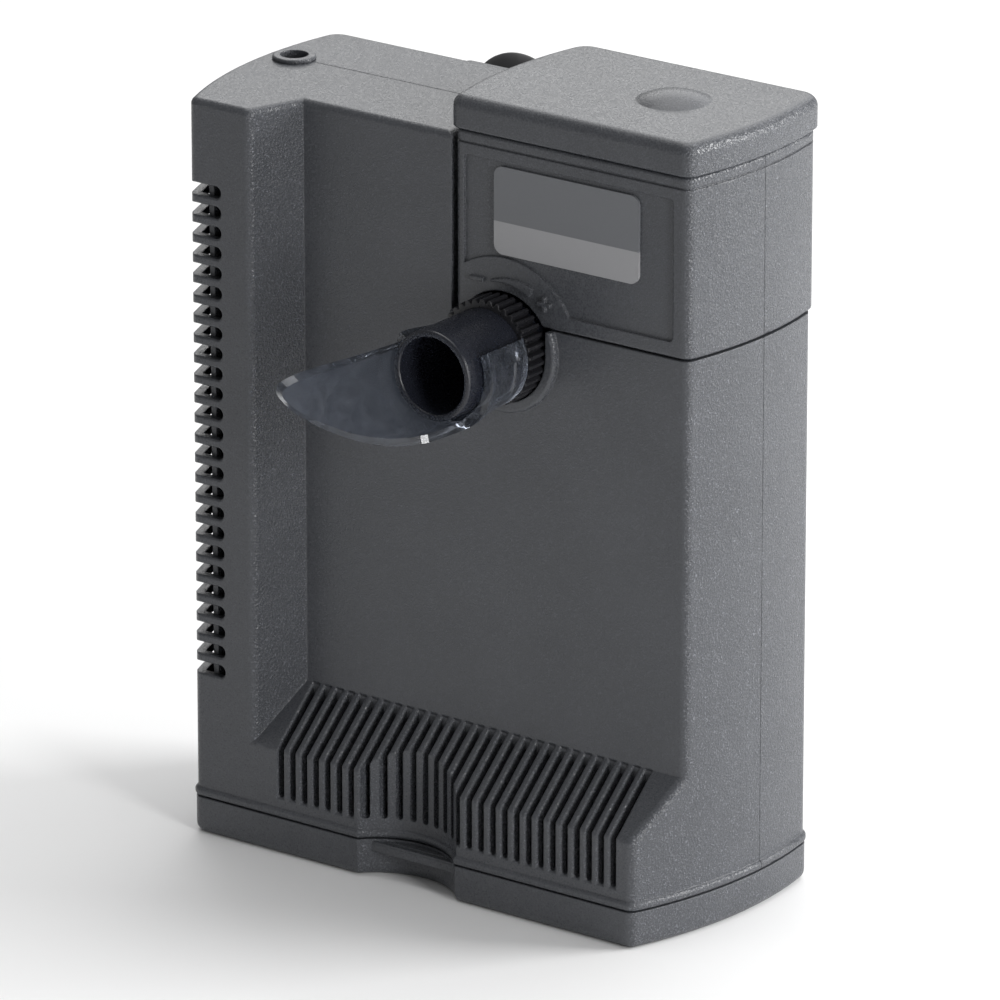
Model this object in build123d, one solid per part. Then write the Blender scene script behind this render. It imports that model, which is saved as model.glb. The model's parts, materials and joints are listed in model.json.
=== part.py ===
from build123d import *
from math import cos, pi, radians, sin, sqrt
import os

# Compact internal aquarium filter with a lift-out pump head, in millimetres.
# Origin: middle of the underside of the base tray. +X right, front faces -Y, +Z up.

# Plan of the housing: flat front and back, bulging sides of one radius.
HALF_WIDTH = 70.4
SIDE_RADIUS = 101.3
BULGE_Y = 7.8
FRONT_Y = -31.4
BACK_Y = 30.6
FRONT_CORNER_R = 2.5
BACK_CORNER_R = 4.5
SEAM_Y = 7.6
SEAM_GAP = 0.15
WALL = 2.2

# Heights of the stack: tray, housing, pump head, cap.
TRAY_TOP = 9.0
SHELL_BOTTOM = 9.3
TOP_Z = 179.1
HEAD_BOTTOM = 137.8
HEAD_TOP = 180.3
CAP_TOP = 188.3

# Recessed front panel, with the vent column on its left and the grille band below.
PANEL_Y = -17.4
COLUMN_FRONT_X = -45.6
COLUMN_BACK_X = -40.6
BAND_FRONT_Z = 26.0
BAND_PANEL_Z = 38.3

# Pocket of the pump head, open at the top, the right and the back.
POCKET_GAP = 1.0
POCKET_Z = 137.4

# Finger scoop under the grille.
SCOOP_X = -1.1
SCOOP_R = 19.0
SCOOP_Y = -44.0

# Intake slots.
GRILLE_COUNT = 29
GRILLE_PITCH = 3.39
GRILLE_WIDTH = 1.65
GRILLE_LEFT_X = -37.8
GRILLE_BOTTOM_Z = 13.9
VENT_COUNT = 25
VENT_PITCH = 4.85
VENT_HEIGHT = 2.9
VENT_BOTTOM_Z = 39.8
VENT_FACE_X = -53.9
VENT_SIDE_Y = -12.0
SLOT_EDGE = 0.35

# Pump head outline and cap.
HEAD_X = 34.9
HEAD_HALF = 35.5
HEAD_BACK_Y = 32.3
HEAD_WALL = 2.0
CAP_PROUD = 0.95
CAP_EDGE_R = 2.6
HEAD_FOOT_R = 0.7
DOME_R = 8.6
DOME_HEIGHT = 2.1
DIAL_RELIEF = 0.75

# Outlet: nozzle, regulator ring and clear deflector on one axis along -Y.
NOZZLE_X = 16.1
NOZZLE_Z = 131.4
NOZZLE_MOUTH_Y = -44.5
NOZZLE_R = 10.6
NOZZLE_BORE = 9.0
RING_FRONT_Y = -24.3
RING_BACK_Y = -17.9
RING_ROOT_R = 11.3
RING_TIP_R = 12.6
RING_TEETH = 36
OUTLET_CLEAR_R = 12.9
SLEEVE_R = 10.65
DEFLECTOR_R = 12.0
DEFLECTOR_WALL = 1.9
DEFLECTOR_REACH = 40.0

# Pump: rotor axis upright, volute below the motor, duct to the nozzle.
ROTOR_X = 34.9
ROTOR_Y = 8.0
VOLUTE_R = 19.5
VOLUTE_BOTTOM = 121.5
VOLUTE_TOP = 142.6
DUCT_R = 9.8
DUCT_BORE = 8.2
DUCT_END_Y = -15.0
SHAFT_R = 1.25
RUNNING = 0.05
SCREW_PLACES = [(51.6, -8.7), (51.6, 24.7), (18.2, 24.7)]

# Mains lead through the back of the head.
GROMMET_X = 54.6
GROMMET_Z = 162.0
GROMMET_R = 4.2
CABLE_R = 2.6
CABLE_END_Z = 26.0

# Suction cups and air socket.
CUP_R = 14.4
CUP_STEM_R = 3.0
BRACKET_FRONT_Y = BACK_Y + 0.1
BRACKET_BACK_Y = BACK_Y + 2.6
CUP_PLACES = [(-22.2, 164.8), (-22.2, 48.0), (33.0, 118.0), (33.0, 48.0)]
SOCKET_X = -62.2
SOCKET_Y = 7.2
SOCKET_BORE = 3.3


def box(x0, x1, y0, y1, z0, z1):
    """Box given by its limits."""
    middle = Pos((x0 + x1) / 2, (y0 + y1) / 2, (z0 + z1) / 2)
    return middle * Box(x1 - x0, y1 - y0, z1 - z0)


def upright(x, y, z0, z1, r):
    """Cylinder along Z."""
    return Pos(x, y, (z0 + z1) / 2) * Cylinder(r, z1 - z0)


def lying(x, z, y0, y1, r):
    """Cylinder along Y."""
    return Pos(x, (y0 + y1) / 2, z) * Rot(90, 0, 0) * Cylinder(r, y1 - y0)


def nearest_edge(shape, x, y, z):
    return shape.edges().sort_by_distance(Vector(x, y, z))[0]


def barrel(x_mid, half, y_front, y_back, z0, z1, inset=0.0):
    """Upright block whose left and right sides bulge; inset moves every side inwards."""
    radius = SIDE_RADIUS - inset
    widest = half - inset

    def reach(y):
        return widest - radius + sqrt(radius**2 - (y - BULGE_Y) ** 2)

    front = y_front + inset
    back = y_back - inset
    corners = [
        (x_mid - reach(front), front),
        (x_mid + reach(front), front),
        (x_mid + reach(back), back),
        (x_mid - reach(back), back),
    ]
    outline = [
        Line(corners[0], corners[1]),
        ThreePointArc(corners[1], (x_mid + widest, BULGE_Y), corners[2]),
        Line(corners[2], corners[3]),
        ThreePointArc(corners[3], (x_mid - widest, BULGE_Y), corners[0]),
    ]
    block = extrude(Pos(0, 0, z0) * make_face(Curve() + outline), z1 - z0)
    uprights = block.edges().filter_by(Axis.Z).group_by(Axis.Y)
    block = fillet(uprights[-1], BACK_CORNER_R - inset)
    uprights = block.edges().filter_by(Axis.Z).group_by(Axis.Y)
    return fillet(uprights[0], max(FRONT_CORNER_R - inset, 0.4))


def scoop(grow, z0, z1):
    """Cylinder that hollows the middle of the front for the fingers."""
    return upright(SCOOP_X, SCOOP_Y, z0, z1, SCOOP_R + grow)


def housing_plan(inset, z0, z1):
    """Slice of the housing or tray: bulging block less the finger scoop."""
    block = barrel(0, HALF_WIDTH, FRONT_Y, BACK_Y, z0, z1, inset)
    return block - scoop(inset, z0 - 1, z1 + 1)


def recess(grow):
    """Space in front of the panel, between the column and the sloping top of the band."""
    lean = (COLUMN_BACK_X - COLUMN_FRONT_X) / (PANEL_Y - FRONT_Y)
    rise = (BAND_PANEL_Z - BAND_FRONT_Z) / (PANEL_Y - FRONT_Y)
    ahead = -60.0
    far = 120.0
    column_x = COLUMN_FRONT_X + lean * (ahead - FRONT_Y)
    band_z = BAND_FRONT_Z + rise * (ahead - FRONT_Y)
    plan = Polygon(
        (column_x, ahead), (COLUMN_BACK_X, PANEL_Y), (far, PANEL_Y), (far, ahead), align=None
    )
    profile = Polygon(
        (ahead, band_z), (0, band_z - rise * ahead), (0, 2 * far), (ahead, 2 * far), align=None
    )
    if grow:
        plan = offset(plan, grow, kind=Kind.INTERSECTION)
        profile = offset(profile, grow, kind=Kind.INTERSECTION)
    tall = extrude(plan, 2 * far, dir=(0, 0, 1))
    wide = extrude(Plane.YZ * profile, far, both=True)
    return tall & wide


def pocket(grow):
    """Space of the pump head: its left side follows the bulge of the head."""
    z0 = POCKET_Z - grow
    curve = upright(HEAD_X - HEAD_HALF + SIDE_RADIUS, BULGE_Y, z0, 220, SIDE_RADIUS + POCKET_GAP + grow)
    return curve & box(-20, 90, -60, 60, z0, 220)


def housing_form():
    """Outside of the housing, with its edges rounded."""
    form = barrel(0, HALF_WIDTH, FRONT_Y, BACK_Y, SHELL_BOTTOM, TOP_Z) - recess(0)
    middle_z = (BAND_PANEL_Z + TOP_Z) / 2
    sharp = [
        nearest_edge(form, COLUMN_FRONT_X, FRONT_Y, middle_z),
        nearest_edge(form, 20, FRONT_Y, BAND_FRONT_Z),
        nearest_edge(form, HALF_WIDTH - 4.5, PANEL_Y, middle_z),
        nearest_edge(form, 65.0, -23.5, 33.0),
    ]
    form = fillet(sharp, 2.2)
    form = form - scoop(0, 0, 60) - pocket(0)
    rim = form.faces().sort_by(Axis.Z)[-1].edges()
    return fillet(rim, 1.6)


def housing_cavity():
    """Inside of the housing, open at the bottom."""
    room = barrel(0, HALF_WIDTH, FRONT_Y, BACK_Y, 0, TOP_Z - WALL, WALL)
    return room - recess(WALL) - scoop(WALL, -1, 60) - pocket(WALL)


def bottom_bead():
    """Rounded flange along the lower edge of the housing."""
    bead = housing_plan(-0.7, SHELL_BOTTOM, SHELL_BOTTOM + 2.2)
    rims = bead.faces().filter_by(Axis.Z)
    bead = fillet(rims.edges(), 0.9)
    return bead - housing_plan(WALL, 0, 20)


def grille_slots():
    """Upright slots through the band front and up its slope to the panel."""
    ahead = FRONT_Y - 3
    inner = SCOOP_Y + SCOOP_R + WALL + 0.4
    low = GRILLE_BOTTOM_Z + GRILLE_WIDTH / 2
    profile = Polygon(
        (ahead, low),
        (ahead, BAND_FRONT_Z + 1),
        (PANEL_Y, BAND_PANEL_Z + 3),
        (PANEL_Y, BAND_PANEL_Z - 3.3),
        (inner, BAND_PANEL_Z - 8.0),
        (inner, low),
        align=None,
    )
    slots = []
    for index in range(GRILLE_COUNT):
        x = GRILLE_LEFT_X + index * GRILLE_PITCH
        slots.append(Pos(x, 0, 0) * extrude(Plane.YZ * profile, GRILLE_WIDTH / 2, both=True))
        slots.append(lying(x, low, ahead, inner, GRILLE_WIDTH / 2))
    return slots


def grille_edges():
    """Shallow flared cuts that break the slot edges on the band front and on its slope."""
    width = GRILLE_WIDTH + 2 * SLOT_EDGE
    overrun = 3.0
    length = BAND_FRONT_Z - GRILLE_BOTTOM_Z + overrun
    front = Plane((0, FRONT_Y, GRILLE_BOTTOM_Z - SLOT_EDGE + length / 2), x_dir=(1, 0, 0), z_dir=(0, 1, 0))
    upright_cut = extrude(front * Rectangle(width, length), SLOT_EDGE, taper=45)
    run = PANEL_Y - FRONT_Y
    rise = BAND_PANEL_Z - BAND_FRONT_Z
    middle = (0, (PANEL_Y + FRONT_Y) / 2, (BAND_PANEL_Z + BAND_FRONT_Z) / 2)
    slope = Plane(middle, x_dir=(1, 0, 0), z_dir=(0, rise, -run))
    sloping_cut = extrude(slope * Rectangle(width, sqrt(run**2 + rise**2) + 1), SLOT_EDGE, taper=45)
    cuts = []
    for index in range(GRILLE_COUNT):
        x = GRILLE_LEFT_X + index * GRILLE_PITCH
        cuts += [Pos(x, 0, 0) * upright_cut, Pos(x, 0, 0) * sloping_cut]
    return cuts


def vent_edges():
    """Shallow flared cuts that break the vent edges on the front."""
    height = VENT_HEIGHT + 2 * SLOT_EDGE
    start_x = -80.0
    length = VENT_FACE_X + SLOT_EDGE - start_x
    front = Plane((start_x + length / 2, FRONT_Y, 0), x_dir=(1, 0, 0), z_dir=(0, 1, 0))
    outline = Rectangle(length, height)
    outline = fillet(outline.vertices().group_by(Axis.X)[-1], height / 2 - 0.05)
    cut = extrude(front * outline, SLOT_EDGE, taper=45)
    places = [VENT_BOTTOM_Z + VENT_HEIGHT / 2 + index * VENT_PITCH for index in range(VENT_COUNT)]
    return [Pos(0, 0, z) * cut for z in places]


def vent_slots():
    """Level slots round the front left corner."""
    slots = []
    for index in range(VENT_COUNT):
        z = VENT_BOTTOM_Z + VENT_HEIGHT / 2 + index * VENT_PITCH
        half = VENT_HEIGHT / 2
        end_x = VENT_FACE_X - half
        slots.append(box(-80, end_x, -40, VENT_SIDE_Y, z - half, z + half))
        slots.append(lying(end_x, z, -40, FRONT_Y + WALL + 1.5, half))
    return slots


def ring_cradle():
    """Raised half ring on the panel under the regulator ring."""
    lip = lying(NOZZLE_X, NOZZLE_Z, PANEL_Y - 1.6, PANEL_Y + 0.5, OUTLET_CLEAR_R + 2.6)
    lip = fillet(lip.edges().sort_by(Axis.Y)[0], 0.9)
    return lip - box(-60, 60, -60, 0, POCKET_Z, 200)


def outlet_clearance(top):
    """U-shaped way for the outlet, open upwards."""
    hole = lying(NOZZLE_X, NOZZLE_Z, -40, PANEL_Y + WALL + 4, OUTLET_CLEAR_R)
    way = box(
        NOZZLE_X - OUTLET_CLEAR_R, NOZZLE_X + OUTLET_CLEAR_R, -40, PANEL_Y + WALL + 4, NOZZLE_Z, top
    )
    return hole + way


def housing_shells():
    """The housing, split into a front and a rear shell at the side seam."""
    shell = housing_form() + bottom_bead() + ring_cradle()
    shell -= housing_cavity()
    shell -= outlet_clearance(POCKET_Z)
    shell -= box(3.8, 57.0, PANEL_Y + WALL + 0.4, BACK_Y - 1.2, POCKET_Z - 2 * WALL, POCKET_Z + 1)
    shell -= upright(SOCKET_X, SOCKET_Y, TOP_Z - 2 * WALL, TOP_Z + 1, 4.5)
    front = shell & box(-90, 90, -60, SEAM_Y - SEAM_GAP / 2, 0, 200)
    rear = shell & box(-90, 90, SEAM_Y + SEAM_GAP / 2, 60, 0, 200)
    front = front - grille_slots() - vent_slots() - grille_edges() - vent_edges()
    front += box(-58.6, -57.2, FRONT_Y + WALL - 0.2, -24.5, 30, 166)
    return front, rear


def base_tray():
    """Tray with a finger lip across the scoop and an upstand inside the housing."""
    tray = housing_plan(-0.4, 0, TRAY_TOP)
    tray = fillet(tray.faces().sort_by(Axis.Z)[0].edges(), 2.4)
    tray -= housing_plan(WALL, 2.0, TRAY_TOP + 1)
    collar = housing_plan(WALL + 0.15, TRAY_TOP - 3, TRAY_TOP + 4)
    collar -= housing_plan(WALL + 1.45, TRAY_TOP - 4, TRAY_TOP + 5)
    tray += collar + housing_plan(WALL - 0.5, TRAY_TOP - 3, TRAY_TOP - 1) - housing_plan(
        WALL + 1.45, TRAY_TOP - 4, TRAY_TOP
    )
    lip_front = FRONT_Y + 1.8
    reach = upright(SCOOP_X, SCOOP_Y, 0, 20, SCOOP_R + 1)
    lip = box(-18, 18, lip_front, -20, TRAY_TOP - 2.8, TRAY_TOP - 1.0) & reach
    for y in (lip_front + 0.5, lip_front + 2.3, lip_front + 4.6):
        lip += box(-18, 18, y - 0.4, y + 0.4, TRAY_TOP - 1.2, TRAY_TOP - 0.5) & reach
    return tray + lip


def support_grid():
    """Platform with square openings that holds the foam above the tray floor."""
    plate = box(-60, 60, -12.5, 24, 11.0, 12.6)
    openings = [
        box(x, x + 7, y, y + 7, 10, 14)
        for x in [-57 + 9.0 * i for i in range(13)]
        for y in [-10.5 + 8.6 * j for j in range(4)]
        if x + 7 < 60
    ]
    legs = [box(x - 1, x + 1, -12, 23.5, 2.0, 11.2) for x in (-58.5, -3.0 - 1.5, 50.5)]
    return plate - openings + legs


def chamber_divider():
    """Wall with round ports between the fine and the coarse foam."""
    wall = box(-41.8, -40.4, PANEL_Y + WALL + 0.1, BACK_Y - WALL - 0.1, 14.0, 166.0)
    ports = [
        Pos(-41.1, y, z) * Rot(0, 90, 0) * Cylinder(2.6, 4)
        for y in (-8, 0, 8, 16, 22)
        for z in range(22, 162, 9)
    ]
    return wall - ports


def head_block(z0, z1, inset=0.0):
    return barrel(HEAD_X, HEAD_HALF, PANEL_Y, HEAD_BACK_Y, z0, z1, inset)


def label_recess():
    """Shallow field on the head, cut back in an arc round the dial."""
    field = box(5.0, 63.1, PANEL_Y - 2, PANEL_Y + 0.7, 141.4, 174.8)
    field = fillet(field.edges().filter_by(Axis.Y), 1.2)
    return field - lying(NOZZLE_X, NOZZLE_Z, -40, 0, 20.8)


def dial_marks():
    """Raised minus sign, plus sign and growing wedge round the ring."""
    y0, y1 = PANEL_Y - DIAL_RELIEF, PANEL_Y + 0.6

    def place(angle, radius):
        return Pos(
            NOZZLE_X + radius * cos(radians(angle)), 0, NOZZLE_Z + radius * sin(radians(angle))
        )

    bar = box(-1.8, 1.8, y0, y1, -0.45, 0.45)
    minus = place(116, 16.4) * bar
    plus = place(46, 16.8) * (bar + box(-0.45, 0.45, y0, y1, -1.8, 1.8))
    marks = minus + plus
    steps = 9
    for step in range(steps):
        angle = 99 - 36 * step / (steps - 1)
        size = 0.5 + 1.7 * step / (steps - 1)
        tooth = box(-0.75, 0.75, y0, y1, 0, size)
        marks += place(angle, 15.1) * Rot(0, 90 - angle, 0) * tooth
    return marks


def head_shells():
    """Front and rear shells of the pump head, with a fine groove under the cap."""
    shell = head_block(HEAD_BOTTOM, HEAD_TOP)
    shell = fillet(shell.faces().sort_by(Axis.Z)[-1].edges(), 0.8)
    shell = fillet(shell.faces().sort_by(Axis.Z)[0].edges(), HEAD_FOOT_R)
    shell -= head_block(HEAD_BOTTOM - 1, HEAD_TOP + 1, HEAD_WALL)
    groove = head_block(HEAD_TOP - 2.9, HEAD_TOP - 2.4, -1.0)
    shell -= groove - head_block(HEAD_TOP - 4, HEAD_TOP, 0.35)
    shell -= label_recess()
    shell += dial_marks() & box(0, 60, -40, 0, HEAD_BOTTOM + 0.4, HEAD_TOP)
    shell -= lying(NOZZLE_X, NOZZLE_Z, -40, 0, OUTLET_CLEAR_R)
    shell -= lying(GROMMET_X, GROMMET_Z, HEAD_BACK_Y - 4, HEAD_BACK_Y + 2, GROMMET_R)
    front = shell & box(-10, 90, -60, SEAM_Y - SEAM_GAP / 2, 100, 200)
    rear = shell & box(-10, 90, SEAM_Y + SEAM_GAP / 2, 60, 100, 200)
    return front, rear


def head_cap():
    """Snap-on cap with a low domed thumb button and a skirt inside the head."""
    z0 = HEAD_TOP + 0.4
    cap = barrel(HEAD_X, HEAD_HALF, PANEL_Y, HEAD_BACK_Y, z0, CAP_TOP, -CAP_PROUD)
    cap = fillet(cap.faces().sort_by(Axis.Z)[-1].edges(), CAP_EDGE_R)
    cap = fillet(cap.faces().sort_by(Axis.Z)[0].edges(), 0.5)
    cap -= head_block(z0 - 1, CAP_TOP - 2, HEAD_WALL + 1.4)
    skirt = head_block(HEAD_TOP - 3, z0 + 1.5, HEAD_WALL + 0.15)
    skirt -= head_block(HEAD_TOP - 4, z0 + 3, HEAD_WALL + 1.4)
    ball = (DOME_R**2 + DOME_HEIGHT**2) / (2 * DOME_HEIGHT)
    dome = Pos(44.6, 8.4, CAP_TOP + DOME_HEIGHT - ball) * Sphere(ball)
    dome &= box(30, 60, -10, 30, CAP_TOP - 0.5, CAP_TOP + 5)
    return cap + skirt + dome


def head_floor():
    """Plate that closes the head above the volute."""
    plate = head_block(VOLUTE_TOP + 0.2, VOLUTE_TOP + 2.2, HEAD_WALL + 0.1)
    plate -= upright(ROTOR_X, ROTOR_Y, 140, 150, 8.3)
    plate -= lying(NOZZLE_X, NOZZLE_Z, -30, -9, OUTLET_CLEAR_R)
    return plate - [upright(x, y, 140, 150, 1.3) for x, y in SCREW_PLACES]


def volute():
    """Impeller chamber with the outlet duct leaving at its left edge towards the front."""
    body = upright(ROTOR_X, ROTOR_Y, VOLUTE_BOTTOM, VOLUTE_TOP, VOLUTE_R)
    body += box(15.4, 54.4, -11.5, 27.5, VOLUTE_TOP - 1.6, VOLUTE_TOP)
    body += lying(NOZZLE_X, NOZZLE_Z, DUCT_END_Y, 12, DUCT_R)
    body -= upright(ROTOR_X, ROTOR_Y, VOLUTE_BOTTOM - 1, VOLUTE_TOP - 1.6, VOLUTE_R - 1.6)
    body -= lying(NOZZLE_X, NOZZLE_Z, DUCT_END_Y - 1, 10.4, DUCT_BORE)
    body -= upright(ROTOR_X, ROTOR_Y, 120, 150, 8.3)
    body -= [upright(x, y, 130, 150, 1.3) for x, y in SCREW_PLACES]
    groove = lying(NOZZLE_X, NOZZLE_Z, -14.0, -12.9, DUCT_R + 1)
    return body - (groove - lying(NOZZLE_X, NOZZLE_Z, -15, -12, 8.9))


def volute_cover():
    """Bottom plate with the inlet eye and three arms that carry the lower bush."""
    z0, z1 = VOLUTE_BOTTOM - 1.8, VOLUTE_BOTTOM - 0.1
    plate = upright(ROTOR_X, ROTOR_Y, z0, z1, VOLUTE_R) - upright(ROTOR_X, ROTOR_Y, 110, 130, 9.0)
    hub = upright(ROTOR_X, ROTOR_Y, z0, z1 + 0.8, 4.4)
    for turn in range(3):
        arm = box(0, 10, -0.8, 0.8, z0, z1)
        plate += Pos(ROTOR_X, ROTOR_Y, 0) * Rot(0, 0, 120 * turn + 30) * arm
    return plate + hub - upright(ROTOR_X, ROTOR_Y, z0 + 0.6, z1 + 2, 3.0)


def intake_strainer():
    """Slotted cup under the inlet eye."""
    rim_z = VOLUTE_BOTTOM - 1.9
    height, outer, inner, slots = 9.0, 12.5, 11.2, 12
    cup = upright(ROTOR_X, ROTOR_Y, rim_z - height, rim_z, outer)
    cup -= upright(ROTOR_X, ROTOR_Y, rim_z - height + 1.4, rim_z + 1, inner)
    slot = box(10, 14, -1, 1, rim_z - height + 2, rim_z - 1.5)
    for turn in range(slots):
        cup -= Pos(ROTOR_X, ROTOR_Y, 0) * Rot(0, 0, 360 / slots * turn) * slot
    return cup


def impeller():
    """Hub with six straight blades under a neck that carries the magnet."""
    z0, z1 = VOLUTE_BOTTOM + 2.7, VOLUTE_TOP - 3.0
    wheel = upright(0, 0, z0, z1, 4.2) + upright(0, 0, z1 - 1.2, z1, 13.6)
    for turn in range(6):
        wheel += Rot(0, 0, 60 * turn) * box(0, 13.6, -0.6, 0.6, z0, z1)
    wheel += upright(0, 0, z1, 148.0, 3.4)
    return Pos(ROTOR_X, ROTOR_Y, 0) * (wheel - upright(0, 0, 120, 150, SHAFT_R + RUNNING))


def ring_of(x, y, z0, z1, r_out, r_in):
    return upright(x, y, z0, z1, r_out) - upright(x, y, z0 - 1, z1 + 1, r_in)


def motor_parts():
    """Potted U-core motor round the rotor axis: case, core, bobbins, coils, can and filling."""
    core = box(-12, 26, -14, 14, 152, 166) - box(-16, 20, -6, 6, 150, 170)
    core -= upright(0, 0, 140, 180, 9.4)
    bobbins = []
    coils = []
    for y in (-10.0, 10.0):
        leg = box(8, 22, y - 4.9, y + 4.9, 151.1, 166.9)
        spool = box(11, 19.6, y - 4.9, y + 4.9, 151.1, 166.9)
        spool += box(11, 11.9, y - 6.6, y + 6.6, 148.5, 169.5)
        spool += box(18.7, 19.6, y - 6.6, y + 6.6, 148.5, 169.5)
        winding = box(11.9, 18.7, y - 6.3, y + 6.3, 149, 169)
        winding = fillet(winding.edges().filter_by(Axis.X), 1.4)
        coils.append(winding - leg)
        bobbins.append(spool - box(8, 22, y - 4.0, y + 4.0, 152, 166))
    can = upright(0, 0, 145.0, 176.2, 9.4) - upright(0, 0, 144, 175.2, 8.3)
    case = fillet(box(-21, 30, -20, 19, 144.9, 177.0).edges().filter_by(Axis.Z), 3.0)
    room = fillet(box(-19.5, 28.5, -18.5, 17.5, 146.4, 180).edges().filter_by(Axis.Z), 1.5)
    case = case - room - upright(0, 0, 140, 150, 9.4)
    potting = room & box(-40, 40, -40, 40, 146.4, 174.0)
    for solid in [core, can, upright(0, 0, 140, 180, 9.0)] + bobbins + coils:
        potting = potting - solid
    axis = Pos(ROTOR_X, ROTOR_Y, 0)
    bobbins = Compound(children=[axis * part for part in bobbins])
    coils = Compound(children=[axis * part for part in coils])
    return axis * case, axis * core, bobbins, coils, axis * can, axis * potting


def about_nozzle(profile):
    """Solid of revolution about the outlet axis from (radius, y) points."""
    face = Polygon(*[(r, y) for r, y in profile], align=None)
    return Pos(NOZZLE_X, 0, NOZZLE_Z) * revolve(face, Axis.Y)


def outlet_nozzle():
    """Plain outlet tube with a rounded mouth and a socket over the duct."""
    shoulder = DUCT_END_Y - 1.5
    profile = [
        (DUCT_R + 0.08, -11.8),
        (DUCT_R + 1.1, -11.8),
        (DUCT_R + 1.1, RING_BACK_Y + 0.1),
        (NOZZLE_R, RING_BACK_Y + 0.1),
        (NOZZLE_R, NOZZLE_MOUTH_Y),
        (NOZZLE_BORE, NOZZLE_MOUTH_Y),
        (NOZZLE_BORE, shoulder),
        (DUCT_R + 0.08, shoulder),
    ]
    tube = about_nozzle(profile)
    mouth = tube.faces().sort_by(Axis.Y)[0].edges()
    return fillet(mouth, 0.6)


def flow_gate():
    """Disc with a half-moon window that throttles the duct as it turns."""
    disc = lying(NOZZLE_X, NOZZLE_Z, DUCT_END_Y - 1.45, DUCT_END_Y - 0.1, DUCT_R - 0.05)
    window = lying(NOZZLE_X, NOZZLE_Z, -20, -10, 7.6) & box(-20, 60, -20, -10, NOZZLE_Z + 0.6, 160)
    return disc - window


def regulator_ring():
    """Knurled ring round the foot of the nozzle."""
    tooth_form = ((0.0, RING_ROOT_R), (0.3, RING_TIP_R), (0.62, RING_TIP_R), (0.92, RING_ROOT_R))
    points = []
    for tooth in range(RING_TEETH):
        for part, radius in tooth_form:
            angle = 2 * pi * (tooth + part) / RING_TEETH
            points.append((radius * cos(angle), radius * sin(angle)))
    knurl = extrude(
        Plane.XZ * Polygon(*points, align=None), RING_BACK_Y - RING_FRONT_Y, dir=(0, -1, 0)
    )
    knurl = Pos(NOZZLE_X, RING_BACK_Y, NOZZLE_Z) * knurl
    band = lying(NOZZLE_X, NOZZLE_Z, RING_FRONT_Y, RING_FRONT_Y + 0.9, RING_ROOT_R + 0.35)
    return knurl + band - lying(NOZZLE_X, NOZZLE_Z, -40, 0, NOZZLE_R)


def deflector_plan():
    """Outline seen from above that trims the trough to its slanting rim."""
    mouth = NOZZLE_MOUTH_Y
    rim = Spline(
        (9.6, mouth + 5.6),
        (4.0, mouth - 5.0),
        (-3.8, mouth - 13.5),
        (-9.0, mouth - 21.4),
        (-12.3, mouth - 30.2),
        (-14.4, mouth - DEFLECTOR_REACH),
    )
    corners = Polyline(
        (-14.4, mouth - DEFLECTOR_REACH),
        (-20, mouth - DEFLECTOR_REACH),
        (-20, mouth + 5.6),
        (9.6, mouth + 5.6),
    )
    return make_face(Curve() + [rim, corners])


def outlet_deflector():
    """Clear snap-on sleeve with a long trough along its left side."""
    outer = DEFLECTOR_R + DEFLECTOR_WALL
    sleeve = about_nozzle(
        [(SLEEVE_R, RING_FRONT_Y - 0.3), (DEFLECTOR_R + 0.3, RING_FRONT_Y - 0.3),
         (outer, NOZZLE_MOUTH_Y + 5.6), (SLEEVE_R, NOZZLE_MOUTH_Y + 5.6)]
    )
    gap = Polygon((0, 0), (40, 21.3), (40, 60), (-40, 60), (-40, 23.1), align=None)
    gap = Pos(NOZZLE_X, 0, NOZZLE_Z) * extrude(Plane.XZ * gap, 120, dir=(0, -1, 0))
    sleeve -= gap
    trough = about_nozzle(
        [(DEFLECTOR_R, NOZZLE_MOUTH_Y + 5.8), (outer, NOZZLE_MOUTH_Y + 5.8),
         (outer, NOZZLE_MOUTH_Y - 60), (DEFLECTOR_R, NOZZLE_MOUTH_Y - 60)]
    )
    keep = Pos(NOZZLE_X, 0, 60) * extrude(deflector_plan(), 120, dir=(0, 0, 1))
    rim = Polygon(
        (NOZZLE_MOUTH_Y + 6, -40), (NOZZLE_MOUTH_Y + 6, 3.6), (NOZZLE_MOUTH_Y - 60, 9.6),
        (NOZZLE_MOUTH_Y - 60, -40), align=None,
    )
    keep &= Pos(NOZZLE_X, 0, NOZZLE_Z) * extrude(Plane.YZ * rim, 60, both=True)
    trough = (trough & keep) - gap
    return sleeve + trough


def air_socket():
    """Bush held between the shells, with a collar and a bore for a hose."""
    bush = upright(SOCKET_X, SOCKET_Y, 165.0, TOP_Z + 0.2, 4.4)
    collar = upright(SOCKET_X, SOCKET_Y, TOP_Z + 0.05, TOP_Z + 1.0, 5.1)
    collar = fillet(collar.edges().sort_by(Axis.Z)[-1], 0.5)
    return bush + collar - upright(SOCKET_X, SOCKET_Y, 160, 190, SOCKET_BORE)


def suction_cups():
    """Cups pressed into the bracket, hollow faces to the back."""
    foot = BRACKET_FRONT_Y + 0.1
    seat = BRACKET_BACK_Y + 0.1
    profile = Polygon(
        (0, foot), (CUP_STEM_R, foot), (CUP_STEM_R, seat), (6.0, seat), (6.4, 34.8), (12.0, 37.2),
        (CUP_R, 40.0), (CUP_R + 0.2, 41.2), (CUP_R - 0.8, 41.2), (11.0, 39.0), (4.0, 36.6), (0, 36.2),
        align=None,
    )
    cup = revolve(profile, Axis.Y)
    return Compound(children=[Pos(x, 0, z) * cup for x, z in CUP_PLACES])


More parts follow.
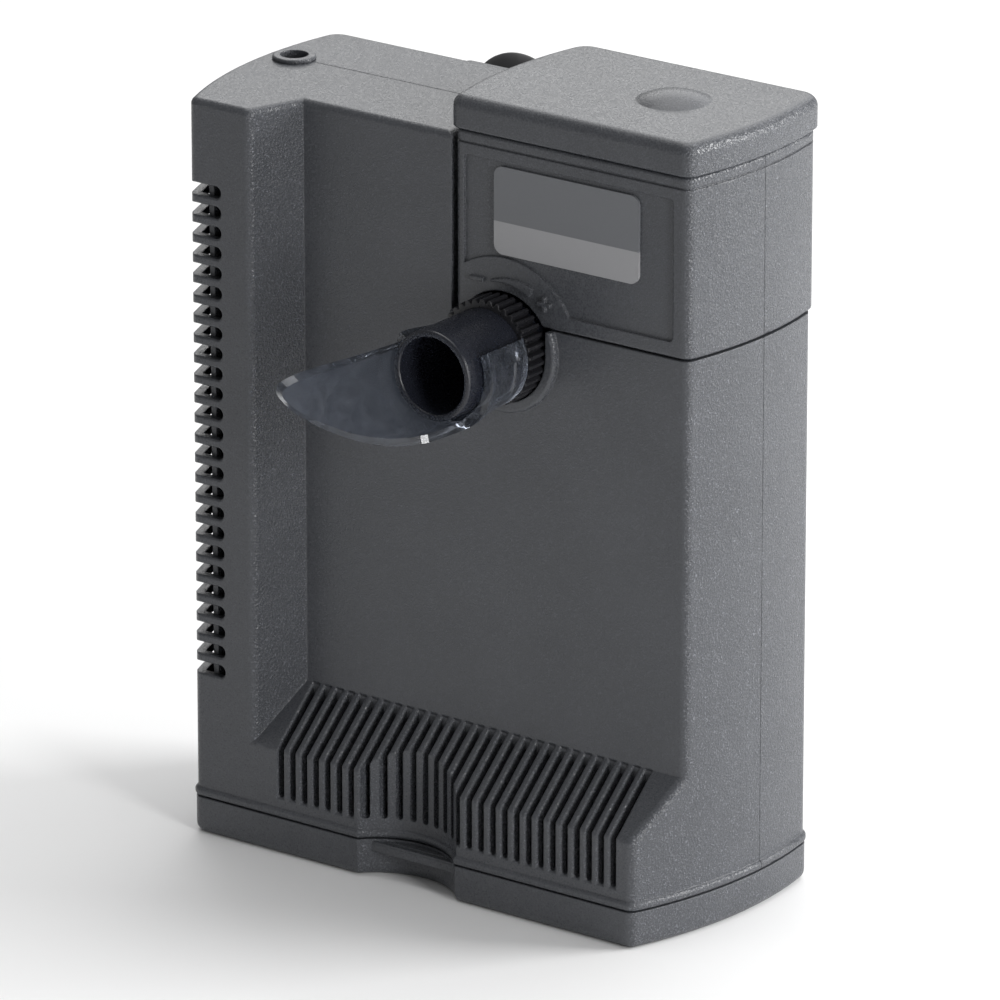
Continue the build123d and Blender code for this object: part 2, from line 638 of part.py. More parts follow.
def cup_bracket():
    """L-shaped plate with a window on the back of the housing that carries the cups."""
    y0, y1 = BRACKET_FRONT_Y, BRACKET_BACK_Y
    left, foot, window_left, window_right = -36, 34, -8, 20
    plate = box(left, -8.5, y0, y1, foot, 178) + box(left, 47, y0, y1, foot, 132)
    plate = fillet(plate.edges().filter_by(Axis.Y), 6)
    window = box(window_left, window_right, y0 - 1, y1 + 1, 48, 118)
    plate -= fillet(window.edges().filter_by(Axis.Y), 5)
    return plate - [lying(x, z, y0 - 1, y1 + 1, CUP_STEM_R + 0.05) for x, z in CUP_PLACES]


def cable_parts():
    """Mains lead through a grommet in the back of the head, cut short near the base."""
    bend = CABLE_R + 1.6
    back = HEAD_BACK_Y + 1.8 + bend
    way = FilletPolyline(
        (GROMMET_X, HEAD_BACK_Y - 4.4, GROMMET_Z),
        (GROMMET_X, back, GROMMET_Z),
        (GROMMET_X, back, CABLE_END_Z),
        radius=bend,
    )
    lead = sweep(Plane(way @ 0, z_dir=way % 0) * Circle(CABLE_R), path=way)
    grommet = lying(GROMMET_X, GROMMET_Z, HEAD_BACK_Y - 3.4, HEAD_BACK_Y + 0.2, GROMMET_R - 0.05)
    grommet += lying(GROMMET_X, GROMMET_Z, HEAD_BACK_Y + 0.05, HEAD_BACK_Y + 1.6, 5.6)
    grommet += lying(GROMMET_X, GROMMET_Z, HEAD_BACK_Y - 4.6, HEAD_BACK_Y - 2.1, 5.2)
    return lead, grommet - lying(GROMMET_X, GROMMET_Z, 20, 45, CABLE_R + 0.05)


def volute_screws():
    """Screws that hold the volute to the head floor."""
    screw = upright(0, 0, VOLUTE_TOP - 4.0, VOLUTE_TOP - 1.7, 2.6)
    screw -= box(-2, 2, -0.35, 0.35, VOLUTE_TOP - 5, VOLUTE_TOP - 3.3)
    screw += upright(0, 0, VOLUTE_TOP - 2, VOLUTE_TOP + 2.0, 1.2)
    return Compound(children=[Pos(x, y, 0) * screw for x, y in SCREW_PLACES])


def badge():
    plate = box(13.4, 53.6, PANEL_Y + 0.05, PANEL_Y + 0.68, 152.9, 173.6)
    return fillet(plate.edges().filter_by(Axis.Y), 2.4)


def build():
    """Every node by name."""
    front, rear = housing_shells()
    head_front, head_rear = head_shells()
    case, core, bobbins, coils, can, potting = motor_parts()
    lead, grommet = cable_parts()
    shaft_foot = VOLUTE_BOTTOM - 1.1
    return {
        "front_shell": front,
        "rear_shell": rear,
        "chamber_divider": chamber_divider(),
        "air_socket": air_socket(),
        "cup_bracket": cup_bracket(),
        "suction_cups": suction_cups(),
        "base_tray": base_tray(),
        "support_grid": support_grid(),
        "coarse_foam": box(-38.5, 60, -12.5, 25, 12.8, 108),
        "fine_foam": box(-60, -46, -22.5, 25, 12.8, 164),
        "head_front": head_front,
        "head_rear": head_rear,
        "head_floor": head_floor(),
        "head_badge": badge(),
        "head_cap": head_cap(),
        "motor_case": case,
        "stator_core": core,
        "coil_bobbins": bobbins,
        "stator_coils": coils,
        "rotor_can": can,
        "motor_potting": potting,
        "upper_shaft_bush": ring_of(ROTOR_X, ROTOR_Y, 172.8, 175.1, 8.2, SHAFT_R),
        "lower_shaft_bush": ring_of(ROTOR_X, ROTOR_Y, shaft_foot, shaft_foot + 1.8, 2.95, SHAFT_R),
        "rotor_shaft": upright(ROTOR_X, ROTOR_Y, shaft_foot, 175.0, SHAFT_R),
        "rotor_magnet": ring_of(ROTOR_X, ROTOR_Y, 148.1, 171.5, 7.6, SHAFT_R + RUNNING),
        "impeller": impeller(),
        "volute": volute(),
        "volute_cover": volute_cover(),
        "intake_strainer": intake_strainer(),
        "volute_screws": volute_screws(),
        "duct_o_ring": Pos(NOZZLE_X, -13.45, NOZZLE_Z) * Rot(90, 0, 0) * Torus(9.37, 0.46),
        "outlet_nozzle": outlet_nozzle(),
        "regulator_ring": regulator_ring(),
        "flow_gate": flow_gate(),
        "outlet_deflector": outlet_deflector(),
        "power_cable": lead,
        "cable_grommet": grommet,
    }


os.makedirs("parts", exist_ok=True)
for name, shape in build().items():
    export_step(shape, os.path.join("parts", name + ".step"))
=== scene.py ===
import json
from math import cos, pi, radians, sin, sqrt

import bmesh
import bpy
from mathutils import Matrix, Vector, noise


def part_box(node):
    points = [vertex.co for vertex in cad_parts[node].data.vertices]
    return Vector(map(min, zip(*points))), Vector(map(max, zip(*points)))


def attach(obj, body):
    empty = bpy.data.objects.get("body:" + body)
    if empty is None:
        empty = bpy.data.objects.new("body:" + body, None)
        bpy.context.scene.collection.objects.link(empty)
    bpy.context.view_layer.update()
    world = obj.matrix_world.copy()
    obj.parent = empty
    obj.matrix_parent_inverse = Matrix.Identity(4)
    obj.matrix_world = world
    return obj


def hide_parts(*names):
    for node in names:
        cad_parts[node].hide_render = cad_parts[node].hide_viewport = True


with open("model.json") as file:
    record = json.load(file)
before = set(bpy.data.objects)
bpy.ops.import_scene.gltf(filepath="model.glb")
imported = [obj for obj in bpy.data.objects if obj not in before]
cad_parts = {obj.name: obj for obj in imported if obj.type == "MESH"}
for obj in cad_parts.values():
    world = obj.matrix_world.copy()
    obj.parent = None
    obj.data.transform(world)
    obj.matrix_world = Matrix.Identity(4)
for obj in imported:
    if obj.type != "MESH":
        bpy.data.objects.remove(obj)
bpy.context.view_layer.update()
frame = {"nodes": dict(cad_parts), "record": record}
nodes = frame["nodes"]
MM = 0.001

# Shared places, in millimetres, taken from the frame.
NOZZLE_LOW, NOZZLE_HIGH = (Vector(corner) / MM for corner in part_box("outlet_nozzle"))
NOZZLE_X = (NOZZLE_LOW.x + NOZZLE_HIGH.x) / 2
NOZZLE_Z = (NOZZLE_LOW.z + NOZZLE_HIGH.z) / 2
MOUTH_Y = NOZZLE_LOW.y


class Graph:
    """A procedural material: add() makes a node, and its settings or inputs are given by name."""

    def __init__(self, name):
        self.material = bpy.data.materials.new(name)
        self.material.use_nodes = True
        self.nodes = self.material.node_tree.nodes
        self.links = self.material.node_tree.links
        self.nodes.clear()
        self.coord = self.add("ShaderNodeTexCoord").outputs["Object"]
        self.out = self.add("ShaderNodeOutputMaterial")

    def add(self, kind, settings=None, **inputs):
        node = self.nodes.new(kind)
        for key, value in (settings or {}).items():
            setattr(node, key, value)
        for key, value in inputs.items():
            self.put(node, key.replace("_", " "), value)
        return node

    def put(self, node, key, value):
        socket = node.inputs[int(key)] if key.isdigit() else node.inputs[key]
        if isinstance(value, bpy.types.NodeSocket):
            self.links.new(value, socket)
        elif isinstance(value, tuple) and len(value) == 3 and socket.type == "RGBA":
            socket.default_value = (*value, 1.0)
        else:
            socket.default_value = value

    def noise(self, size_mm, detail=2.0, rough=0.5):
        """Noise with blobs of about size_mm, 0 to 1."""
        node = self.add(
            "ShaderNodeTexNoise", Vector=self.coord, Scale=1 / (size_mm * MM), Detail=detail, Roughness=rough
        )
        return node.outputs["Fac"]

    def cells(self, size_mm, feature="F1"):
        """Distance to scattered points about size_mm apart."""
        node = self.add(
            "ShaderNodeTexVoronoi", {"feature": feature}, Vector=self.coord, Scale=1 / (size_mm * MM)
        )
        return node.outputs["Distance"]

    def span(self, value, low, high, to_low, to_high):
        """Maps value from low..high to to_low..to_high, clamped."""
        node = self.add("ShaderNodeMapRange", Value=value)
        for key, number in (("From Min", low), ("From Max", high), ("To Min", to_low), ("To Max", to_high)):
            node.inputs[key].default_value = number
        return node.outputs["Result"]

    def math(self, operation, a, b=0.0):
        node = self.add("ShaderNodeMath", {"operation": operation})
        self.put(node, "0", a)
        self.put(node, "1", b)
        return node.outputs[0]

    def tint(self, factor, dark, light):
        """Colour from dark at 0 to light at 1, and beyond."""
        node = self.add("ShaderNodeMix", {"data_type": "RGBA", "clamp_factor": False})
        self.put(node, "0", factor)
        self.put(node, "6", dark)
        self.put(node, "7", light)
        return node.outputs[2]

    def bump(self, height, depth_mm, normal=None, strength=1.0):
        node = self.add("ShaderNodeBump", Height=height, Distance=depth_mm * MM, Strength=strength)
        if normal is not None:
            self.put(node, "Normal", normal)
        return node.outputs["Normal"]

    def soft_normal(self, radius_mm):
        """Surface normal with the edges rounded off, so that they catch light."""
        return self.add("ShaderNodeBevel", {"samples": 6}, Radius=radius_mm * MM).outputs["Normal"]

    def edge_wear_and_highlight(self, radius_mm):
        """Near 1 on convex and concave edges, 0 on flats; used to paint edges lighter, as rubbing wear and
        as a painted highlight.
        """
        soft = self.soft_normal(radius_mm)
        sharp = self.add("ShaderNodeNewGeometry").outputs["Normal"]
        dot = self.add("ShaderNodeVectorMath", {"operation": "DOT_PRODUCT"})
        self.put(dot, "0", soft)
        self.put(dot, "1", sharp)
        return self.span(dot.outputs["Value"], 0.98, 0.75, 0.0, 1.0)

    def surface(self, **inputs):
        shader = self.add("ShaderNodeBsdfPrincipled", **inputs)
        self.links.new(shader.outputs[0], self.out.inputs["Surface"])
        return self.material


def spark_eroded(name, dark, light, roughness, grain_mm, depth_mm):
    """Moulded plastic with the pitted grain of a spark-eroded tool, coarser on faces that look sideways,
    with painted glints on the grain peaks and painted highlights on the edges.
    """
    g = Graph(name)
    normal = g.add("ShaderNodeNewGeometry").outputs["Normal"]
    own_normal = g.add(
        "ShaderNodeVectorTransform",
        {"vector_type": "NORMAL", "convert_from": "WORLD", "convert_to": "OBJECT"},
        Vector=normal,
    )
    across = g.add("ShaderNodeSeparateXYZ", Vector=own_normal.outputs[0]).outputs["X"]
    sideways = g.span(g.math("ABSOLUTE", across), 0.3, 0.75, 0.0, 1.0)
    grain = g.noise(grain_mm, 2.0, 0.6)
    pits = g.cells(grain_mm * 1.4)
    peaks = g.span(grain, 0.52, 0.66, 0.0, 1.0)
    mottle = g.noise(22, 3.0)
    # Edges are painted lighter in blotches: partly rubbing wear, partly a painted highlight where the
    # rounded edges catch light.
    rubbed_and_highlit = g.math("MULTIPLY", g.edge_wear_and_highlight(0.5), g.noise(3, 4.0))
    shade = g.math("ADD", g.math("MULTIPLY", mottle, 0.6), g.math("MULTIPLY", rubbed_and_highlit, 0.6))
    strength = g.span(sideways, 0.0, 1.0, 0.22, 1.0)
    # Lighter flecks on the grain peaks are painted glints, strongest on faces that look sideways.
    painted_glints = g.math("MULTIPLY", g.math("MULTIPLY", peaks, strength), 3.4)
    shade = g.math("ADD", shade, painted_glints)
    height = g.math("ADD", g.math("MULTIPLY", peaks, 0.8), g.math("MULTIPLY", pits, 0.5))
    relief = g.add("ShaderNodeBump", Height=height, Distance=depth_mm * MM)
    g.put(relief, "Strength", strength)
    g.put(relief, "Normal", g.soft_normal(0.5))
    return g.surface(
        Base_Color=g.tint(shade, dark, light),
        Roughness=g.span(grain, 0.3, 0.7, roughness - 0.06, roughness + 0.08),
        Normal=relief.outputs["Normal"],
    )


def smooth_plastic(name, dark, light, roughness):
    """Polished moulding with faint flow marks and fine scuffs."""
    g = Graph(name)
    mottle = g.noise(9, 4.0)
    scuffs = g.noise(0.6, 3.0)
    return g.surface(
        Base_Color=g.tint(mottle, dark, light),
        Roughness=g.span(scuffs, 0.3, 0.7, roughness - 0.05, roughness + 0.1),
        Normal=g.bump(g.math("ADD", scuffs, mottle), 0.004, g.soft_normal(0.35)),
    )


def smoke_clear(name):
    """Clear plastic with a smoky blue-grey tint, a little hazy from handling."""
    g = Graph(name)
    mottle = g.noise(6, 2.0)
    smears = g.noise(3, 4.0, 0.65)
    return g.surface(
        Base_Color=g.tint(mottle, (0.40, 0.44, 0.52), (0.50, 0.54, 0.62)),
        Roughness=g.span(smears, 0.4, 0.65, 0.02, 0.07),
        IOR=1.49,
        Transmission_Weight=g.span(smears, 0.35, 0.7, 0.97, 0.92),
        Normal=g.bump(mottle, 0.004),
    )


def rubber(name, dark, light):
    g = Graph(name)
    bloom = g.noise(4, 5.0)
    return g.surface(
        Base_Color=g.tint(bloom, dark, light),
        Roughness=g.span(bloom, 0.3, 0.7, 0.45, 0.62),
        Normal=g.bump(g.noise(0.5, 2.0), 0.02),
    )


def foam(name, dark, light, pore_mm):
    """Open-cell foam: pores painted dark as shade inside the holes, between lighter struts."""
    g = Graph(name)
    pores = g.cells(pore_mm)
    # struts is 0 in the pores, where the dark colour is painted shade.
    struts = g.span(pores, 0.25, 0.6, 0.0, 1.0)
    return g.surface(
        Base_Color=g.tint(struts, dark, light),
        Roughness=g.span(pores, 0.0, 1.0, 0.8, 0.98),
        Normal=g.bump(struts, pore_mm * 0.35),
    )


def metal(name, dark, light, roughness, layer_mm=0.0):
    """Metal with fine grain, and with stacked layers along Z if layer_mm is given."""
    g = Graph(name)
    grain = g.noise(0.5, 3.0)
    height = grain
    if layer_mm:
        scale = 1 / (layer_mm * MM * pi)
        wave = g.add("ShaderNodeTexWave", {"bands_direction": "Z"}, Vector=g.coord, Scale=scale)
        height = wave.outputs["Fac"]
    return g.surface(
        Base_Color=g.tint(g.noise(5, 3.0), dark, light),
        Metallic=1.0,
        Roughness=g.span(grain, 0.3, 0.7, roughness - 0.08, roughness + 0.1),
        Normal=g.bump(height, 0.02),
    )


def two_tone_label(name, split_z, low, high):
    """Satin label, darker above split_z (mm) than below."""
    g = Graph(name)
    z = g.add("ShaderNodeSeparateXYZ", Vector=g.coord).outputs["Z"]
    above = g.span(z, (split_z - 0.04) * MM, (split_z + 0.04) * MM, 0.0, 1.0)
    grain = g.noise(0.35, 2.0)
    tone = g.math("ADD", above, g.math("MULTIPLY", grain, 0.06))
    return g.surface(
        Base_Color=g.tint(tone, low, high),
        Roughness=g.span(grain, 0.3, 0.7, 0.32, 0.42),
        Normal=g.bump(grain, 0.006),
    )


GREY_DARK, GREY_LIGHT = (0.044, 0.047, 0.053), (0.078, 0.082, 0.092)
MATERIALS = {
    "housing": spark_eroded("housing_plastic", GREY_DARK, GREY_LIGHT, 0.31, 0.42, 0.24),
    "head": spark_eroded("head_plastic", GREY_DARK, GREY_LIGHT, 0.29, 0.42, 0.24),
    "badge": two_tone_label("badge_print", 160.6, (0.30, 0.30, 0.31), (0.14, 0.145, 0.155)),
    "outlet": smooth_plastic("outlet_plastic", (0.009, 0.010, 0.015), (0.016, 0.018, 0.025), 0.26),
    "ring": smooth_plastic("ring_plastic", (0.010, 0.010, 0.012), (0.020, 0.020, 0.023), 0.30),
    "clear_plastic": smoke_clear("smoke_clear_plastic"),
    "soft_rubber": rubber("black_rubber", (0.012, 0.012, 0.013), (0.028, 0.028, 0.030)),
    "cable_rubber": rubber("cable_sheath", (0.010, 0.010, 0.011), (0.022, 0.022, 0.023)),
    "coarse_foam": foam("coarse_foam_cells", (0.004, 0.004, 0.005), (0.035, 0.037, 0.042), 1.6),
    "fine_foam": foam("fine_foam_cells", (0.008, 0.008, 0.010), (0.060, 0.064, 0.072), 0.9),
    "motor_plastic": smooth_plastic("motor_moulding", (0.018, 0.018, 0.020), (0.034, 0.034, 0.037), 0.45),
    "impeller_plastic": smooth_plastic("impeller_moulding", (0.20, 0.21, 0.23), (0.30, 0.31, 0.33), 0.38),
    "bobbin_plastic": smooth_plastic("bobbin_moulding", (0.42, 0.40, 0.34), (0.55, 0.52, 0.45), 0.45),
    "resin": smooth_plastic("cast_resin", (0.012, 0.012, 0.018), (0.022, 0.022, 0.030), 0.18),
    "ceramic": smooth_plastic("ground_ceramic", (0.78, 0.77, 0.72), (0.86, 0.85, 0.80), 0.22),
    "laminated_steel": metal("steel_sheets", (0.28, 0.28, 0.29), (0.42, 0.42, 0.43), 0.42, 0.5),
    "copper_wire": metal("winding_wire", (0.55, 0.20, 0.08), (0.80, 0.36, 0.18), 0.30, 0.35),
    "magnet": metal("ferrite", (0.05, 0.05, 0.055), (0.09, 0.09, 0.10), 0.55),
    "steel": metal("stainless", (0.52, 0.52, 0.52), (0.66, 0.66, 0.67), 0.25),
}


def dress_frame():
    """Gives every CAD node the procedural material of its slot in the record."""
    for part in frame["record"]["subparts"]:
        mesh = nodes[part["node"]].data
        mesh.materials.clear()
        mesh.materials.append(MATERIALS[part["material_slot"]])


def add_mesh(name, verts, faces, slot_name, body, smooth=True):
    """New piece from points in millimetres, riding on a body."""
    mesh = bpy.data.meshes.new(name)
    mesh.from_pydata([tuple(c * MM for c in v) for v in verts], [], faces)
    mesh.validate()
    for polygon in mesh.polygons:
        polygon.use_smooth = smooth
    piece = bpy.data.objects.new(name, mesh)
    bpy.context.scene.collection.objects.link(piece)
    mesh.materials.append(MATERIALS[slot_name])
    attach(piece, body)
    return piece


CURVE_STEPS = 24


def between(a, b, c, d, t):
    """Catmull-Rom value at t, from 0 at b to 1 at c."""
    linear = (c - a) * t
    square = (2 * a - 5 * b + 4 * c - d) * t * t
    cube = (3 * b - a - 3 * c + d) * t**3
    return 0.5 * (2 * b + linear + square + cube)


def smooth_path(points, count):
    """Catmull-Rom curve through 2-D points, resampled to count + 1 evenly spaced points."""
    fine = []
    for index in range(len(points) - 1):
        before = points[max(index - 1, 0)]
        start, end = points[index], points[index + 1]
        after = points[min(index + 2, len(points) - 1)]
        for step in range(CURVE_STEPS):
            t = step / CURVE_STEPS
            fine.append(tuple(between(a, b, c, d, t) for a, b, c, d in zip(before, start, end, after)))
    fine.append(tuple(points[-1]))
    lengths = [0.0]
    for before, after in zip(fine, fine[1:]):
        lengths.append(lengths[-1] + sqrt(sum((m - n) ** 2 for m, n in zip(before, after))))
    path = []
    at = 0
    for index in range(count + 1):
        goal = lengths[-1] * index / count
        while at < len(fine) - 2 and lengths[at + 1] < goal:
            at += 1
        share = (goal - lengths[at]) / max(lengths[at + 1] - lengths[at], 1e-9)
        path.append(tuple(m + (n - m) * share for m, n in zip(fine[at], fine[at + 1])))
    return path


def ease(value, low, high):
    """Smooth step from 0 at low to 1 at high."""
    t = min(max((value - low) / (high - low), 0.0), 1.0)
    return t * t * (3 - 2 * t)


def bevel(piece, width_mm, angle_deg=40, segments=3):
    """Rounds the edges sharper than angle_deg."""
    modifier = piece.modifiers.new("bevel", "BEVEL")
    modifier.width = width_mm * MM
    modifier.segments = segments
    modifier.limit_method = "ANGLE"
    modifier.angle_limit = radians(angle_deg)
    modifier.harden_normals = True


# Deflector, in mm. Angles are about the nozzle axis in degrees, 0 to the right and -90 down,
# and reach is the distance ahead of the nozzle's mouth.
SLEEVE_START, SLEEVE_END = -19.8, -4.6
SLEEVE_RIGHT, FLANGE_LOW, TROUGH_LEFT, SLEEVE_LEFT = 28.0, -58.0, -197.0, -209.0
SLEEVE_INNER_R, TROUGH_INNER_R = 10.68, 12.0
SLEEVE_OUTER_R, SLEEVE_FLARE, FLANGE_R = 12.35, 0.75, 13.9
LIP_RUN = 1.9
LIP_STEP = 0.7
LEFT_SWELL = 8.0
BUMP_ANGLE, BUMP_REACH, BUMP_HEIGHT = 16, -16.8, 0.55
BUMP_HALF_ACROSS, BUMP_HALF_ALONG = 2.6, 1.5
WINDOW_ANGLE, WINDOW_REACH, WINDOW_DEPTH = -10, -11.8, 0.45
WINDOW_HALF_ACROSS, WINDOW_HALF_ALONG = 4.4, 3.4
DETAIL_R = 13
TROUGH_RIM = [
    (FLANGE_LOW, SLEEVE_END), (-74, 4.5), (-92, 10), (-134, 21.5), (-179, 35), (-204, 40),
    (-212, 34), (-202, 11), (TROUGH_LEFT, SLEEVE_END),
]


def deflector_skins(angle, reach):
    """Inner and outer radius of the deflector at a place."""
    lip = SLEEVE_END - LIP_RUN + LIP_STEP
    step_in = ease(reach, lip, SLEEVE_END + 1.0)
    inner = SLEEVE_INNER_R + (TROUGH_INNER_R - SLEEVE_INNER_R) * step_in
    outer = SLEEVE_OUTER_R + SLEEVE_FLARE * ease(reach, SLEEVE_START, SLEEVE_END - 2.0)
    swell_start = SLEEVE_END - LIP_RUN - LEFT_SWELL * ease(-angle, 70, 120)
    outer += (FLANGE_R - outer) * ease(reach, swell_start, lip)
    bump_across = radians(angle - BUMP_ANGLE) * DETAIL_R / BUMP_HALF_ACROSS
    bump_along = (reach - BUMP_REACH) / BUMP_HALF_ALONG
    outer += BUMP_HEIGHT * (1 - ease(sqrt(bump_across**2 + bump_along**2), 0.75, 1.05))
    window_across = abs(radians(angle - WINDOW_ANGLE) * DETAIL_R) / WINDOW_HALF_ACROSS
    window_along = abs(reach - WINDOW_REACH) / WINDOW_HALF_ALONG
    outer -= WINDOW_DEPTH * (1 - ease(max(window_across, window_along), 0.86, 1.0))
    return inner, outer


def deflector():
    """Clear snap-on sleeve whose left and lower side runs on as a long pointed trough."""
    right_columns, trough_columns, left_columns, rows, trough_rows = 44, 90, 8, 40, 64
    angles = [SLEEVE_RIGHT + (FLANGE_LOW - SLEEVE_RIGHT) * i / right_columns for i in range(right_columns)]
    angles += [FLANGE_LOW + (TROUGH_LEFT - FLANGE_LOW) * i / trough_columns for i in range(trough_columns)]
    angles += [TROUGH_LEFT + (SLEEVE_LEFT - TROUGH_LEFT) * i / left_columns for i in range(left_columns + 1)]
    places = []
    quads = []
    grid = {}

    def point(key, angle, reach):
        grid[key] = len(places)
        places.append((angle, reach))

    for row in range(rows + 1):
        for column, angle in enumerate(angles):
            point((row, column), angle, SLEEVE_START + (SLEEVE_END - SLEEVE_START) * row / rows)
    rim = smooth_path(TROUGH_RIM, trough_columns)
    for row in range(1, trough_rows + 1):
        share = row / trough_rows
        for i in range(1, trough_columns):
            base = angles[right_columns + i]
            angle = base + (rim[i][0] - base) * share
            point((rows + row, right_columns + i), angle, SLEEVE_END + (rim[i][1] - SLEEVE_END) * share)
        grid[(rows + row, right_columns)] = grid[(rows, right_columns)]
        grid[(rows + row, right_columns + trough_columns)] = grid[(rows, right_columns + trough_columns)]
    for (row, column) in list(grid):
        corners = [(row, column), (row, column + 1), (row + 1, column + 1), (row + 1, column)]
        if all(corner in grid for corner in corners):
            ring = []
            for corner in corners:
                if grid[corner] not in ring:
                    ring.append(grid[corner])
            if len(ring) > 2:
                quads.append(ring)
    verts = []
    for skin in (0, 1):
        for angle, reach in places:
            radius = deflector_skins(angle, reach)[skin]
            turn = radians(angle)
            verts.append((NOZZLE_X + radius * cos(turn), MOUTH_Y - reach, NOZZLE_Z + radius * sin(turn)))
    count = len(places)
    edges = {}
    for ring in quads:
        for edge in zip(ring, ring[1:] + ring[:1]):
            edges[edge] = True
    faces = [list(reversed(ring)) for ring in quads]
    faces += [[index + count for index in ring] for ring in quads]
    for a, b in edges:
        if (b, a) not in edges:
            faces.append([a, b, b + count, a + count])
    piece = add_mesh("deflector_clear", verts, faces, "clear_plastic", "deflector")
    tidy_normals(piece)
    bevel(piece, 0.4)
    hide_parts("outlet_deflector")


def tidy_normals(piece):
    """Turns every face outwards."""
    mesh = bmesh.new()
    mesh.from_mesh(piece.data)
    bmesh.ops.recalc_face_normals(mesh, faces=mesh.faces)
    mesh.to_mesh(piece.data)
    mesh.free()


def lathe(profile, segments):
    """Verts and faces of a closed form turned about the Y axis, from (radius, y) points that end on it."""
    verts = []
    rings = []
    for radius, y in profile:
        if radius < 1e-6:
            rings.append([len(verts)])
            verts.append((0, y, 0))
            continue
        rings.append(list(range(len(verts), len(verts) + segments)))
        for step in range(segments):
            turn = 2 * pi * step / segments
            verts.append((radius * cos(turn), y, radius * sin(turn)))
    faces = []
    for low, high in zip(rings, rings[1:]):
        for step in range(segments):
            after = (step + 1) % segments
            ring = [low[step % len(low)], low[after % len(low)]]
            ring += [high[after % len(high)], high[step % len(high)]]
            faces.append([index for place, index in enumerate(ring) if index not in ring[:place]])
    return verts, faces


def cup_places():
    """Middle of each cup in x and z, from the flat stem ends of the CAD cups."""
    points = [vertex.co / MM for vertex in nodes["suction_cups"].data.vertices]
    front = min(point.y for point in points)
    groups = []
    for point in points:
        if point.y > front + 0.01:
            continue
        for group in groups:
            if abs(point.x - group[0].x) < 10 and abs(point.z - group[0].z) < 10:
                group.append(point)
                break
        else:
            groups.append([point])
    places = []
    for group in groups:
        xs, zs = [point.x for point in group], [point.z for point in group]
        places.append(((min(xs) + max(xs)) / 2, (min(zs) + max(zs)) / 2))
    return places


def suction_cups():
    """Moulded rubber cups, hollow towards the glass."""
    stem = [(0, 30.4), (2.6, 30.4), (2.95, 30.8), (2.95, 32.2), (3.3, 32.9)]
    neck = [(5.6, 32.9), (6.1, 33.4), (6.4, 34.5)]
    bowl = [(8.6, 35.5), (11.4, 37.0), (13.4, 38.7), (14.45, 40.2), (14.55, 40.9), (14.2, 41.15)]
    inside = [(13.6, 40.9), (11.6, 39.4), (8.4, 37.9), (4.4, 36.9), (0, 36.6)]
    profile = smooth_path(stem + neck + bowl + inside, 90)
    profile[0], profile[-1] = (0, profile[0][1]), (0, profile[-1][1])
    verts, faces = [], []
    for x, z in cup_places():
        cup_verts, cup_faces = lathe(profile, 96)
        faces += [[index + len(verts) for index in face] for face in cup_faces]
        verts += [(vx + x, vy, vz + z) for vx, vy, vz in cup_verts]
    piece = add_mesh("rubber_cups", verts, faces, "soft_rubber", "housing")
    tidy_normals(piece)
    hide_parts("suction_cups")


FOAM_EDGE_R = 2.2
PORE_SIZE = 0.55
PORE_DEPTH = 0.75


def foam_block(name, node, slot_name, cell_mm, step_mm):
    """Cut foam block: rounded edges and open pores that break up every face."""
    low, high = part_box(node)
    low, high = [c / MM for c in low], [c / MM for c in high]
    counts = [max(2, round((high[k] - low[k]) / step_mm)) for k in range(3)]
    mesh = bmesh.new()
    seen = {}

    def vert(place):
        if place not in seen:
            point = [low[k] + (high[k] - low[k]) * place[k] / counts[k] for k in range(3)]
            seen[place] = mesh.verts.new(point)
        return seen[place]

    for axis in range(3):
        u, v = (axis + 1) % 3, (axis + 2) % 3
        for end in (0, counts[axis]):
            for i in range(counts[u]):
                for j in range(counts[v]):
                    ring = []
                    for di, dj in ((0, 0), (1, 0), (1, 1), (0, 1)):
                        place = [0, 0, 0]
                        place[axis], place[u], place[v] = end, i + di, j + dj
                        ring.append(vert(tuple(place)))
                    mesh.faces.new(ring)
    bmesh.ops.recalc_face_normals(mesh, faces=mesh.faces)
    mesh.normal_update()
    for point in mesh.verts:
        core = [min(max(point.co[k], low[k] + FOAM_EDGE_R), high[k] - FOAM_EDGE_R) for k in range(3)]
        core = Vector(core)
        out = (point.co - core).normalized()
        open_share = max(0.0, PORE_SIZE - noise.voronoi(point.co / cell_mm)[0][0]) / PORE_SIZE
        point.co = (core + out * (FOAM_EDGE_R - PORE_DEPTH * cell_mm * open_share)) * MM
    data = bpy.data.meshes.new(name)
    mesh.to_mesh(data)
    mesh.free()
    for polygon in data.polygons:
        polygon.use_smooth = True
    piece = bpy.data.objects.new(name, data)
    bpy.context.scene.collection.objects.link(piece)
    data.materials.append(MATERIALS[slot_name])
    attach(piece, "tray")
    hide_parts(node)


dress_frame()
deflector()
suction_cups()
foam_block("coarse_foam_block", "coarse_foam", "coarse_foam", 2.6, 1.5)
foam_block("fine_foam_block", "fine_foam", "fine_foam", 1.6, 1.0)


# Studio: pale floor, large soft boxes above, behind and to the right. The camera sees a white
# surround, and the object is lit by a dimmer one.
AMBIENT = 0.26


def studio_floor():
    g = Graph("pale_floor")
    haze = g.noise(120, 3.0)
    g.surface(Base_Color=g.tint(haze, (0.84, 0.84, 0.84), (0.88, 0.88, 0.88)), Roughness=0.85)
    half = 6.0
    mesh = bpy.data.meshes.new("studio_floor")
    corners = [(-half, -half, 0), (half, -half, 0), (half, half, 0), (-half, half, 0)]
    mesh.from_pydata(corners, [], [(0, 1, 2, 3)])
    mesh.materials.append(g.material)
    floor = bpy.data.objects.new("studio_floor", mesh)
    bpy.context.scene.collection.objects.link(floor)


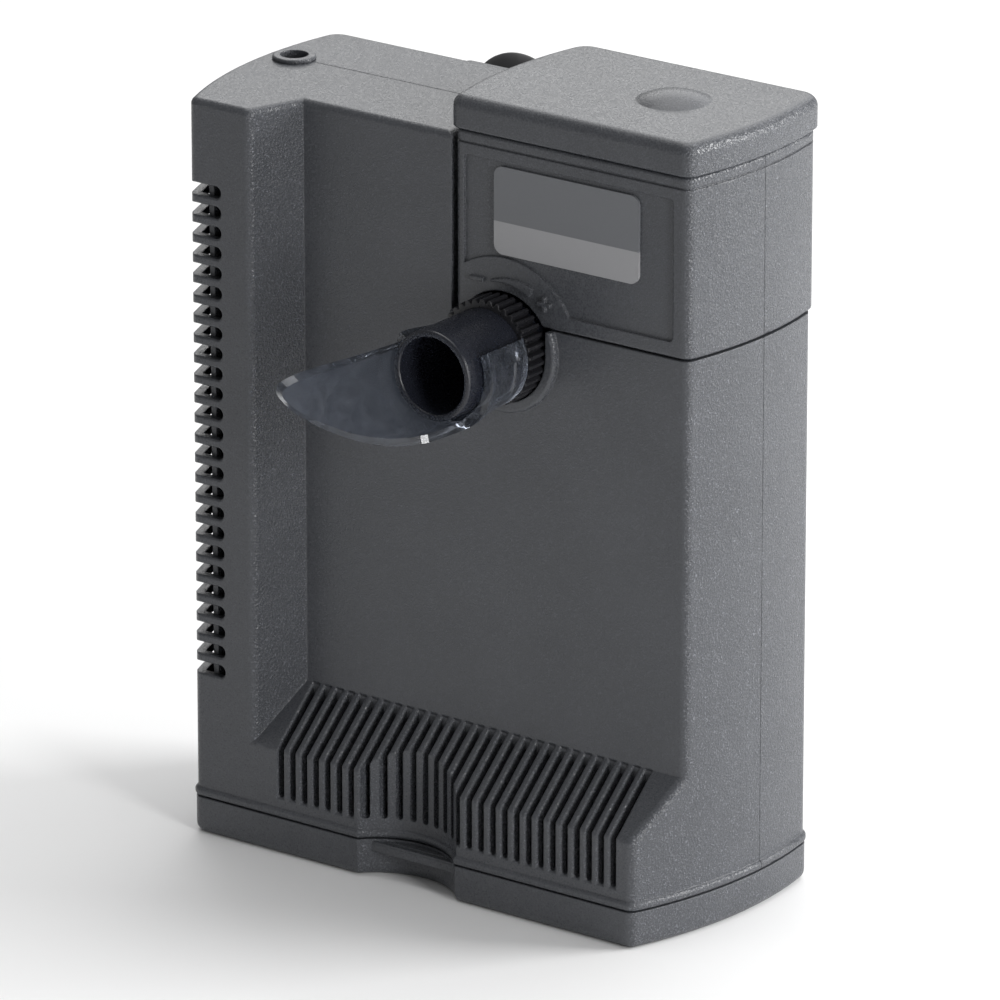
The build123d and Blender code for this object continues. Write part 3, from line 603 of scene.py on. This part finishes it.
def soft_box(name, place, target, size, power):
    light = bpy.data.lights.new(name, "AREA")
    light.shape = "RECTANGLE"
    light.size, light.size_y = size
    light.energy = power
    lamp = bpy.data.objects.new(name, light)
    lamp.location = place
    lamp.rotation_euler = (Vector(target) - Vector(place)).to_track_quat("-Z", "Y").to_euler()
    lamp.visible_camera = False
    bpy.context.scene.collection.objects.link(lamp)


def studio_light():
    world = bpy.data.worlds.new("studio")
    world.use_nodes = True
    tree = world.node_tree
    ambient = tree.nodes["Background"]
    ambient.inputs["Color"].default_value = (1.0, 1.0, 1.0, 1.0)
    seen = tree.nodes.new("ShaderNodeLightPath").outputs["Is Camera Ray"]
    level = tree.nodes.new("ShaderNodeMapRange")
    level.inputs["To Min"].default_value = AMBIENT
    level.inputs["To Max"].default_value = 1.0
    tree.links.new(seen, level.inputs["Value"])
    tree.links.new(level.outputs["Result"], ambient.inputs["Strength"])
    bpy.context.scene.world = world
    middle = (0, 0, 0.09)
    soft_box("box_top", (-0.1, 0.3, 1.3), middle, (1.2, 1.2), 10.5)
    soft_box("box_back", (-0.55, 1.2, 0.85), middle, (1.4, 0.8), 7)
    soft_box("box_right", (1.0, 0.8, 0.5), middle, (0.7, 0.8), 22)
    soft_box("box_front_right", (1.3, -0.42, 0.35), middle, (0.3, 0.8), 11)


def photo_camera():
    """Long lens, turned to the right of the object's front and a little above it."""
    azimuth, elevation = radians(36.6), radians(19.3)
    distance, aside, aim_height = 2.288, 0.0018, 0.0862
    aim = Vector((aside * cos(azimuth), aside * sin(azimuth), aim_height))
    back = Vector((sin(azimuth) * cos(elevation), -cos(azimuth) * cos(elevation), sin(elevation)))
    camera = bpy.data.cameras.new("camera")
    camera.sensor_width = 36.0
    camera.lens = 358.8
    camera.clip_start, camera.clip_end = 0.05, 50.0
    holder = bpy.data.objects.new("camera", camera)
    holder.location = aim + distance * back
    holder.rotation_euler = (radians(90) - elevation, 0, azimuth)
    bpy.context.scene.collection.objects.link(holder)
    bpy.context.scene.camera = holder
    bpy.context.scene.view_settings.view_transform = "Standard"


studio_floor()
studio_light()
photo_camera()
